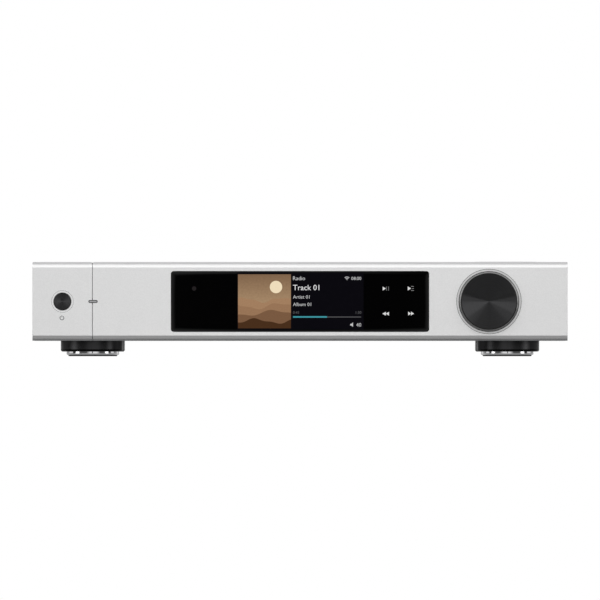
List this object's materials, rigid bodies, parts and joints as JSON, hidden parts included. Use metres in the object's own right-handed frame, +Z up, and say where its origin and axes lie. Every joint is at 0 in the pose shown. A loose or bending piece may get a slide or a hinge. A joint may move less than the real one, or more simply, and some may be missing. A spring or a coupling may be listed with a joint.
{
  "type": "network music streamer",
  "caption": "Wide, low aluminium music streamer with a split bevelled front, a black glass display, a push-and-turn volume knob, a standby button, rear audio sockets and round feet.",
  "frame": {"origin": "on the surface that the feet stand on, under the middle of the object's box", "axes": "+X to the right as seen from the front, +Y to the rear, +Z up"},
  "size_m": [0.43, 0.3244, 0.0763],
  "materials": {
    "silver_front": "fine bead-blasted, clear anodised",
    "silver_case": "fine bead-blasted, clear anodised",
    "dark_plate": "dark grey powder coat",
    "antenna_plastic": "satin, matched to the metal",
    "circuit_board": "solder mask",
    "black_anodised": "turned, black anodised",
    "polished_ring": "polished",
    "foot_rubber": "matte",
    "black_glass": "gloss, printed black behind",
    "black_plastic": "fine grain",
    "dark_module": "gloss",
    "light_pipe": "clear, unlit",
    "plated_steel": "zinc or nickel plated",
    "white_plastic": "satin",
    "rocker_plastic": "satin",
    "gold_plate": "gold plated",
    "core_iron": "varnished laminations and tape",
    "standoff_brass": "bright",
    "lead_plastic": "insulated leads",
    "dark_screws": "black zinc"
  },
  "bodies": {
    "chassis": {"front_panel": "silver_front", "front_end_panel": "silver_front", "front_subframe": "plated_steel", "side_panel_left": "silver_case", "side_panel_right": "silver_case", "top_cover": "silver_case", "bottom_plate": "dark_plate", "rear_panel": "silver_case", "antenna_cover": "antenna_plastic", "antenna_board": "circuit_board", "foot_shell_front_left": "black_anodised", "foot_shell_front_right": "black_anodised", "foot_shell_rear_left": "black_anodised", "foot_shell_rear_right": "black_anodised", "foot_ring_front_left": "polished_ring", "foot_ring_front_right": "polished_ring", "foot_ring_rear_left": "polished_ring", "foot_ring_rear_right": "polished_ring", "foot_pad_front_left": "foot_rubber", "foot_pad_front_right": "foot_rubber", "foot_pad_rear_left": "foot_rubber", "foot_pad_rear_right": "foot_rubber", "display_glass": "black_glass", "display_frame": "black_plastic", "display_module": "dark_module", "touch_key_board": "circuit_board", "ir_receiver": "black_plastic", "status_light": "light_pipe", "standby_board": "circuit_board", "encoder_body": "plated_steel", "encoder_nut": "plated_steel", "mains_inlet": "black_plastic", "lan_jack": "plated_steel", "usb_jack": "plated_steel", "optical_jack": "black_plastic", "coax_jack": "gold_plate", "line_jack_left": "gold_plate", "line_jack_right": "gold_plate", "balanced_jack_left": "plated_steel", "balanced_jack_right": "plated_steel", "streamer_board": "circuit_board", "converter_board": "circuit_board", "power_board": "circuit_board", "power_transformer": "core_iron", "processor_heatsink": "black_anodised", "bay_partition": "plated_steel", "board_standoffs": "standoff_brass", "display_ribbon": "white_plastic", "power_harness": "lead_plastic", "mains_harness": "lead_plastic", "signal_leads": "lead_plastic", "case_screws": "dark_screws", "board_screws": "plated_steel", "foot_screws": "plated_steel"},
    "volume_press": {"encoder_plunger": "white_plastic"},
    "volume": {"volume_knob": "black_anodised", "encoder_shaft": "plated_steel"},
    "standby": {"standby_button": "black_anodised"},
    "rocker": {"mains_rocker": "rocker_plastic"},
    "shutter": {"optical_shutter": "rocker_plastic"}
  },
  "joints": [
    {"name": "volume_push", "type": "slide", "parent": "chassis", "child": "volume_press", "axis": [0, 1, 0], "range_m": [0, 0.0005], "stiffness_N_per_m": 3000, "springref_m": -0.0004},
    {"name": "volume_turn", "type": "hinge", "parent": "volume_press", "child": "volume", "pos_m": [0.1518, -0.147, 0.04395], "axis": [0, 1, 0], "continuous": true},
    {"name": "standby_push", "type": "slide", "parent": "chassis", "child": "standby", "axis": [0, 1, 0], "range_m": [0, 0.0006], "stiffness_N_per_m": 2000, "springref_m": -0.0004},
    {"name": "mains_switch", "type": "hinge", "parent": "chassis", "child": "rocker", "pos_m": [-0.18485, 0.15295, 0.05425], "axis": [1, 0, 0], "range_deg": [-16, 0]},
    {"name": "optical_flap", "type": "hinge", "parent": "chassis", "child": "shutter", "pos_m": [0.008, 0.14875, 0.0344], "axis": [1, 0, 0], "range_deg": [-80, 0], "stiffness_Nm_per_rad": 0.0004, "springref_deg": 17.19}
  ]
}
